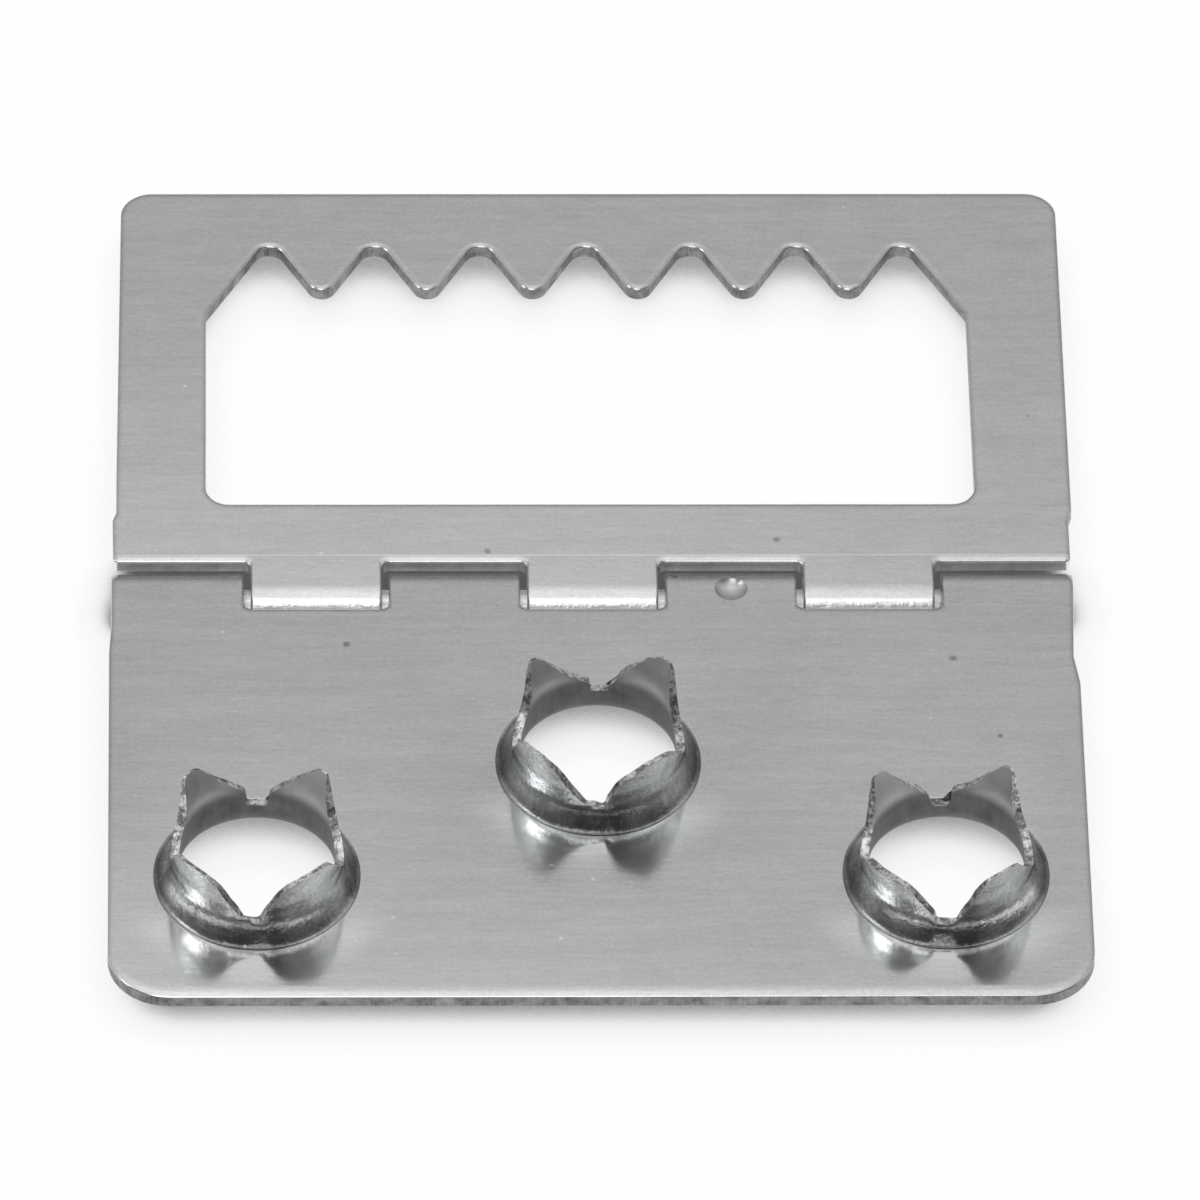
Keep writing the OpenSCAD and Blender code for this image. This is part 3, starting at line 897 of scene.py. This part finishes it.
def fixing_sheen_and_bend_shade(tree, x, y):
    """Painted sheen towards the outer edge and the left, and painted shade on the rolled bend."""
    out = map_range(tree, y, -13 * MM, -26.5 * MM, 0, 0.2, "LINEAR")
    left = map_range(tree, x, 20 * MM, -20 * MM, -0.6, 1, "LINEAR")
    side = math_node(tree, "MULTIPLY", math_node(tree, "MULTIPLY", out, left), 0.7)
    # Painted shade on the rolled bend beyond the hinge axis
    bend = map_range(tree, y, 0.05 * MM, 0.6 * MM, 0, 0.3)
    return math_node(tree, "SUBTRACT", math_node(tree, "ADD", math_node(tree, "ADD", out, side), 0.97), bend)


def burnished_crown_painted_sheen(colour):
    """Outside of the crowns: painted sheen up each prong's middle, painted shade and galling at the notches.
    """
    tree, shader = metal("burnished crown with painted sheen", colour, 0.2)
    place = object_place(tree)
    patch = noise_node(tree, place, 900, 4, 0.6)
    fine = noise_node(tree, place, 6000, 3, 0.6)
    # Painted sheen up the middle of each prong, painted shade towards the notches
    middle = map_range(tree, use_group(tree, "crown halo").outputs["Prongs"], 0.35, 0.95, 0.42, 1.12)
    # Painted shade low on the wall, at its foot on the plate
    rise = map_range(tree, split(tree, place)[2], 2.95 * MM, 3.5 * MM, 0.62, 1)
    galled = map_range(tree, noise_node(tree, place, 4200, 3, 0.65), 0.1, 0.22, 0, 1.1)
    worn = math_node(tree, "MULTIPLY_ADD", patch, 1.2, math_node(tree, "MULTIPLY_ADD", fine, 0.9, 1))
    worn = math_node(tree, "MULTIPLY_ADD", galled, math_node(tree, "SUBTRACT", 1.3, middle), worn)
    tint(tree, shader, colour, math_node(tree, "MULTIPLY", worn, math_node(tree, "MULTIPLY", middle, rise)))
    tree.links.new(math_node(tree, "MULTIPLY_ADD", patch, 0.25, 0.2), shader.inputs["Roughness"])
    bump(tree, shader, math_node(tree, "MULTIPLY_ADD", patch, 2.6, fine), 0.016 * MM)


def sheared_edge(colour):
    """Edges cut by the die: scored upright, painted lighter near the hinge as a highlight."""
    tree, shader = metal("sheared edge", colour, 0.42)
    place = object_place(tree)
    score = noise_node(tree, place, 9000, 3, 0.6, (1, 1, 0.12))
    patch = noise_node(tree, place, 1400, 3, 0.6)
    hinge = math_node(tree, "ABSOLUTE", split(tree, place)[1])
    # Painted highlight: the sheared faces near the hinge are made three times lighter
    tone = map_range(tree, hinge, 1.7 * MM, 2.2 * MM, 3.0, 0.85)
    tone = math_node(tree, "MULTIPLY_ADD", score, 0.8, tone)
    tint(tree, shader, colour, math_node(tree, "MULTIPLY_ADD", patch, 1.8, tone))
    bump(tree, shader, math_node(tree, "MULTIPLY_ADD", patch, 1.5, score), 0.006 * MM)


def torn_prong_edge(colour):
    """Edges of the prongs: torn, with bright grit on dark."""
    tree, shader = metal("torn prong edge", colour, 0.36)
    place = object_place(tree)
    grit = math_node(tree, "ADD", noise_node(tree, place, 5200, 3, 0.65),
                     noise_node(tree, place, 1900, 2, 0.6))
    tint(tree, shader, colour, map_range(tree, grit, -0.24, 0.24, 0.7, 3.2))
    bump(tree, shader, grit, 0.05 * MM)


def dull_bore(colour):
    """Inside of the crowns: dull and dark, with painted shade low in the bore and painted light up the
    prongs.
    """
    tree, shader = metal("dull bore", colour, 0.5)
    place = object_place(tree)
    draw = noise_node(tree, place, 3000, 3, 0.6, (1, 1, 0.15))
    patch = noise_node(tree, place, 1100, 4, 0.6)
    # Painted shade low in the bore, painted light towards the tips of the prongs
    tone = map_range(tree, split(tree, place)[2], 4.3 * MM, 5.5 * MM, 0.5, 2.4)
    tone = math_node(tree, "MULTIPLY_ADD", draw, 0.3, tone)
    tint(tree, shader, colour, math_node(tree, "MULTIPLY_ADD", patch, 0.8, tone))
    tree.links.new(math_node(tree, "MULTIPLY_ADD", patch, 0.3, 0.5), shader.inputs["Roughness"])
    bump(tree, shader, math_node(tree, "ADD", patch, draw), 0.01 * MM)


def drawn_wire(colour):
    """The pin: plated wire with drawing marks along it."""
    tree, shader = metal("drawn wire", colour, 0.3)
    draw = noise_node(tree, object_place(tree), 6000, 3, 0.6, (0.05, 1, 1))
    tint(tree, shader, colour, math_node(tree, "MULTIPLY_ADD", draw, 0.6, 1.25))
    bump(tree, shader, draw, 0.01 * MM)


class HANGER_OT_finishes(bpy.types.Operator):
    """Make the zinc, sheared steel and wire finishes"""
    bl_idname = "hanger.finishes"
    bl_label = "Finishes"

    def execute(self, context):
        finish = context.scene.hanger_finish
        make_rolled_grain()
        make_marks()
        make_crown_halo()
        plate("zinc plate, sawtooth leaf", finish.zinc, 0.19, sawtooth_painted_sheen, 0, 0.35)
        plate("zinc plate, fixing leaf", finish.zinc, 0.19, fixing_sheen_and_bend_shade, 0.45, 0)
        burnished_crown_painted_sheen(finish.zinc)
        sheared_edge(finish.steel)
        torn_prong_edge(finish.steel)
        dull_bore(finish.bore)
        drawn_wire(finish.zinc)
        return {"FINISHED"}


class HANGER_OT_stage(bpy.types.Operator):
    """Set out the floor, the lights, the world and the camera"""
    bl_idname = "hanger.stage"
    bl_label = "Stage"

    def execute(self, context):
        scene = context.scene
        bpy.ops.object.select_all(action="DESELECT")
        bpy.ops.mesh.primitive_plane_add(size=12, location=(0, 0, 0))
        floor = bpy.context.object
        floor.name = "floor"
        floor.data.materials.append(self.paper(scene.hanger_finish.backdrop))
        self.room(scene)
        self.lamp("front softbox", (-0.12, -0.45, 0.72), 0.42, 0.82)
        self.lamp("left softbox", (-0.55, -0.02, 0.55), 0.22, 0.32)
        self.camera(scene)
        scene.view_settings.view_transform = "Standard"
        return {"FINISHED"}

    def paper(self, colour):
        """White with its contact shadow to the camera and in reflections, and plain paper to the light."""
        sheet = bpy.data.materials.new("white floor")
        sheet.use_nodes = True
        tree = sheet.node_tree
        shader = tree.nodes["Principled BSDF"]
        set_inputs(shader, {"Base Color": (*colour, 1), "Roughness": 0.9, "Specular IOR Level": 0})
        open_side = set_inputs(add_node(tree, "ShaderNodeCombineXYZ"), {"Y": -0.574, "Z": 0.819})
        covered = set_inputs(add_node(tree, "ShaderNodeAmbientOcclusion", samples=32), {"Distance": 3.2 * MM})
        tree.links.new(open_side.outputs[0], covered.inputs["Normal"])
        shade = grey_ramp(tree, covered.outputs["AO"], (
            (0.5, 0.08), (0.57, 0.19), (0.59, 0.36), (0.61, 0.54), (0.63, 0.65), (0.66, 0.77), (0.7, 0.86),
            (0.74, 0.91), (0.78, 0.935), (0.86, 0.955), (0.94, 1), (1, 1)))
        white = set_inputs(add_node(tree, "ShaderNodeEmission"), {"Strength": 1.05})
        tree.links.new(shade, white.inputs["Color"])
        path = add_node(tree, "ShaderNodeLightPath")
        seen = math_node(tree, "MAXIMUM", path.outputs["Is Camera Ray"], path.outputs["Is Glossy Ray"])
        seen = math_node(tree, "MAXIMUM", seen, path.outputs["Is Transmission Ray"])
        seen = math_node(tree, "MULTIPLY", seen, 0.9)
        both = add_node(tree, "ShaderNodeMixShader")
        tree.links.new(seen, both.inputs[0])
        tree.links.new(shader.outputs[0], both.inputs[1])
        tree.links.new(white.outputs[0], both.inputs[2])
        tree.links.new(both.outputs[0], tree.nodes["Material Output"].inputs["Surface"])
        return sheet

    def room(self, scene):
        """A grey room, lighter overhead and behind the hanger."""
        world = bpy.data.worlds.new("grey room")
        scene.world = world
        world.use_nodes = True
        tree = world.node_tree
        room = tree.nodes["Background"]
        room.inputs["Strength"].default_value = 1
        _, y, z = split(tree, add_node(tree, "ShaderNodeTexCoord").outputs["Generated"])
        rise = grey_ramp(tree, z, ((0, 0.17), (0.3, 0.42), (0.7, 0.56), (0.88, 0.7), (1, 0.95)), "EASE")
        side = map_range(tree, y, -0.3, 0.15, 0, 1)
        high = map_range(tree, z, 0.8, 0.97, 0, 1)
        lit = math_node(tree, "MAXIMUM", side, high)
        level = math_node(tree, "MULTIPLY", rise, math_node(tree, "MULTIPLY_ADD", lit, 0.7, 0.3))
        tree.links.new(level, room.inputs["Color"])

    def camera(self, scene):
        """The camera solved from the straight edges of the leaves, with the frame's width as 36 mm."""
        lens = bpy.data.cameras.new("Camera")
        eye = bpy.data.objects.new("Camera", lens)
        scene.collection.objects.link(eye)
        lens.sensor_width = 36
        lens.lens = 476.036
        lens.clip_end = 10
        right = Vector((0.99969287, -0.01788419, 0.01715607))
        down = Vector((-0.0009483, -0.71936195, -0.69463479))
        ahead = Vector((0.02476441, 0.69440518, -0.71915796))
        eye.matrix_world = Matrix.Translation(Vector((-0.017956, -0.513515, 0.533625))) @ Matrix(
            (right, -down, -ahead)).transposed().to_4x4()
        scene.camera = eye

    def lamp(self, name, place, size, power):
        """A square soft light that looks at the hanger."""
        light = bpy.data.lights.new(name, "AREA")
        light.size = size
        light.energy = power
        holder = bpy.data.objects.new(name, light)
        bpy.context.scene.collection.objects.link(holder)
        holder.location = place
        holder.rotation_euler = (-Vector(place)).to_track_quat("-Z", "Y").to_euler()


class HANGER_PT_sidebar(bpy.types.Panel):
    """Sizes, colours and pieces of the hanger"""
    bl_label = "Picture hanger"
    bl_idname = "HANGER_PT_sidebar"
    bl_space_type = "VIEW_3D"
    bl_region_type = "UI"
    bl_category = "Hanger"

    def draw(self, context):
        for settings in (context.scene.hanger_sizes, context.scene.hanger_finish):
            for key in settings.__annotations__:
                self.layout.prop(settings, key)
        for step in STEPS:
            self.layout.operator(step.bl_idname)


STEPS = (
    HANGER_OT_finishes, HANGER_OT_sawtooth_leaf, HANGER_OT_fixing_leaf, HANGER_OT_hinge_pin,
    HANGER_OT_stage)
CLASSES = (HangerSizes, HangerFinish, *STEPS, HANGER_PT_sidebar)


def register():
    for each in CLASSES:
        bpy.utils.register_class(each)
    bpy.types.Scene.hanger_sizes = bpy.props.PointerProperty(type=HangerSizes)
    bpy.types.Scene.hanger_finish = bpy.props.PointerProperty(type=HangerFinish)


def unregister():
    del bpy.types.Scene.hanger_finish
    del bpy.types.Scene.hanger_sizes
    for each in reversed(CLASSES):
        bpy.utils.unregister_class(each)


def main():
    register()
    bpy.ops.object.select_all(action="DESELECT")
    bpy.ops.hanger.finishes()
    bpy.ops.hanger.sawtooth_leaf()
    bpy.ops.hanger.fixing_leaf()
    bpy.ops.hanger.hinge_pin()
    bpy.ops.hanger.stage()
    bpy.context.view_layer.update()


if __name__ == "__main__":
    main()
